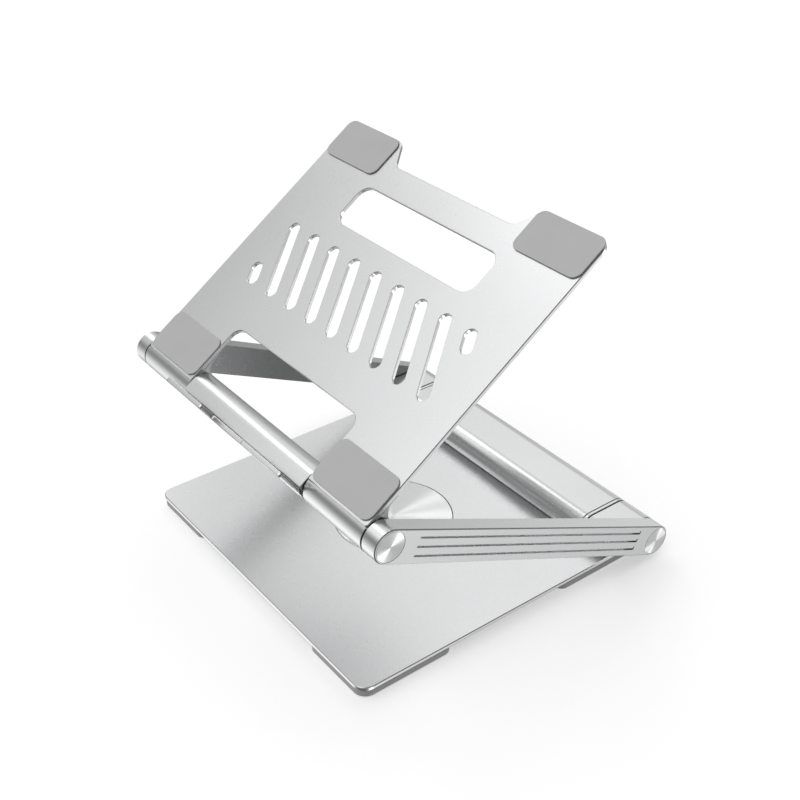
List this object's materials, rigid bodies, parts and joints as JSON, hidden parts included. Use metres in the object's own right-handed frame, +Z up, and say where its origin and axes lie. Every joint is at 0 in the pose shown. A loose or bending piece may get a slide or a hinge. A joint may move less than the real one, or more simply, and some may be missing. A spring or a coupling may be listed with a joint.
{
  "type": "laptop stand",
  "caption": "Folding aluminium laptop stand: slotted tray with corner pads and a front retaining lip, hinged on a pair of arms above a flat base with a swivelling disc.",
  "frame": {"origin": "swivel axis of the base on the desk plane, at the centre of the turntable pad's underside", "axes": "+X to the user's right along both hinge axes, +Y towards the back (the rear bar), +Z up"},
  "size_m": [0.2644, 0.2509, 0.2416],
  "materials": {
    "anodised_aluminium": "satin silver anodised, fine bead-blasted",
    "spun_aluminium": "face-turned, bright radial sheen",
    "steel": "plain machined",
    "silicone": "matt grey anti-slip",
    "foot_rubber": "matt light grey",
    "nylon": "natural moulded"
  },
  "bodies": {
    "turntable": {"turntable_pad": "silicone", "turntable_plate": "steel", "bearing_ring": "nylon", "turntable_cap": "spun_aluminium", "turntable_screw_1": "steel", "turntable_screw_2": "steel", "turntable_screw_3": "steel", "turntable_screw_4": "steel"},
    "base": {"base_plate": "anodised_aluminium", "foot_front_left": "foot_rubber", "foot_front_right": "foot_rubber", "foot_rear_left": "foot_rubber", "foot_rear_right": "foot_rubber", "rear_bar": "anodised_aluminium", "bar_collar_left": "anodised_aluminium", "bar_collar_right": "anodised_aluminium", "hinge_block_left": "anodised_aluminium", "hinge_block_right": "anodised_aluminium", "base_screw_1": "steel", "base_screw_2": "steel", "base_screw_3": "steel", "base_screw_4": "steel", "base_screw_5": "steel", "base_screw_6": "steel"},
    "arms": {"arm_left": "anodised_aluminium", "arm_right": "anodised_aluminium", "cap_rear_left": "spun_aluminium", "cap_rear_right": "spun_aluminium", "cap_front_left": "spun_aluminium", "cap_front_right": "spun_aluminium", "washer_rear_left": "steel", "washer_rear_right": "steel", "washer_front_left": "steel", "washer_front_right": "steel", "rear_shaft_left": "steel", "rear_shaft_right": "steel", "front_shaft": "steel"},
    "tray": {"tray_plate": "anodised_aluminium", "hinge_bracket_left": "anodised_aluminium", "hinge_bracket_right": "anodised_aluminium", "centre_bar": "anodised_aluminium", "retaining_lip": "anodised_aluminium", "lip_pad_left": "silicone", "lip_pad_right": "silicone", "pad_front_left": "silicone", "pad_front_right": "silicone", "pad_rear_left": "silicone", "pad_rear_right": "silicone", "tray_screw_1": "steel", "tray_screw_2": "steel", "tray_screw_3": "steel", "tray_screw_4": "steel"}
  },
  "joints": [
    {"name": "base_swivel", "type": "hinge", "parent": "turntable", "child": "base", "pos_m": [0, 0, 0.0068], "axis": [0, 0, 1], "continuous": true},
    {"name": "arm_hinge", "type": "hinge", "parent": "base", "child": "arms", "pos_m": [0, 0.1148, 0.0148], "axis": [-1, 0, 0], "range_deg": [-25.1, 65]},
    {"name": "tray_hinge", "type": "hinge", "parent": "arms", "child": "tray", "pos_m": [0, -0.10091, 0.11584], "axis": [1, 0, 0], "range_deg": [-60.1, 60]}
  ]
}
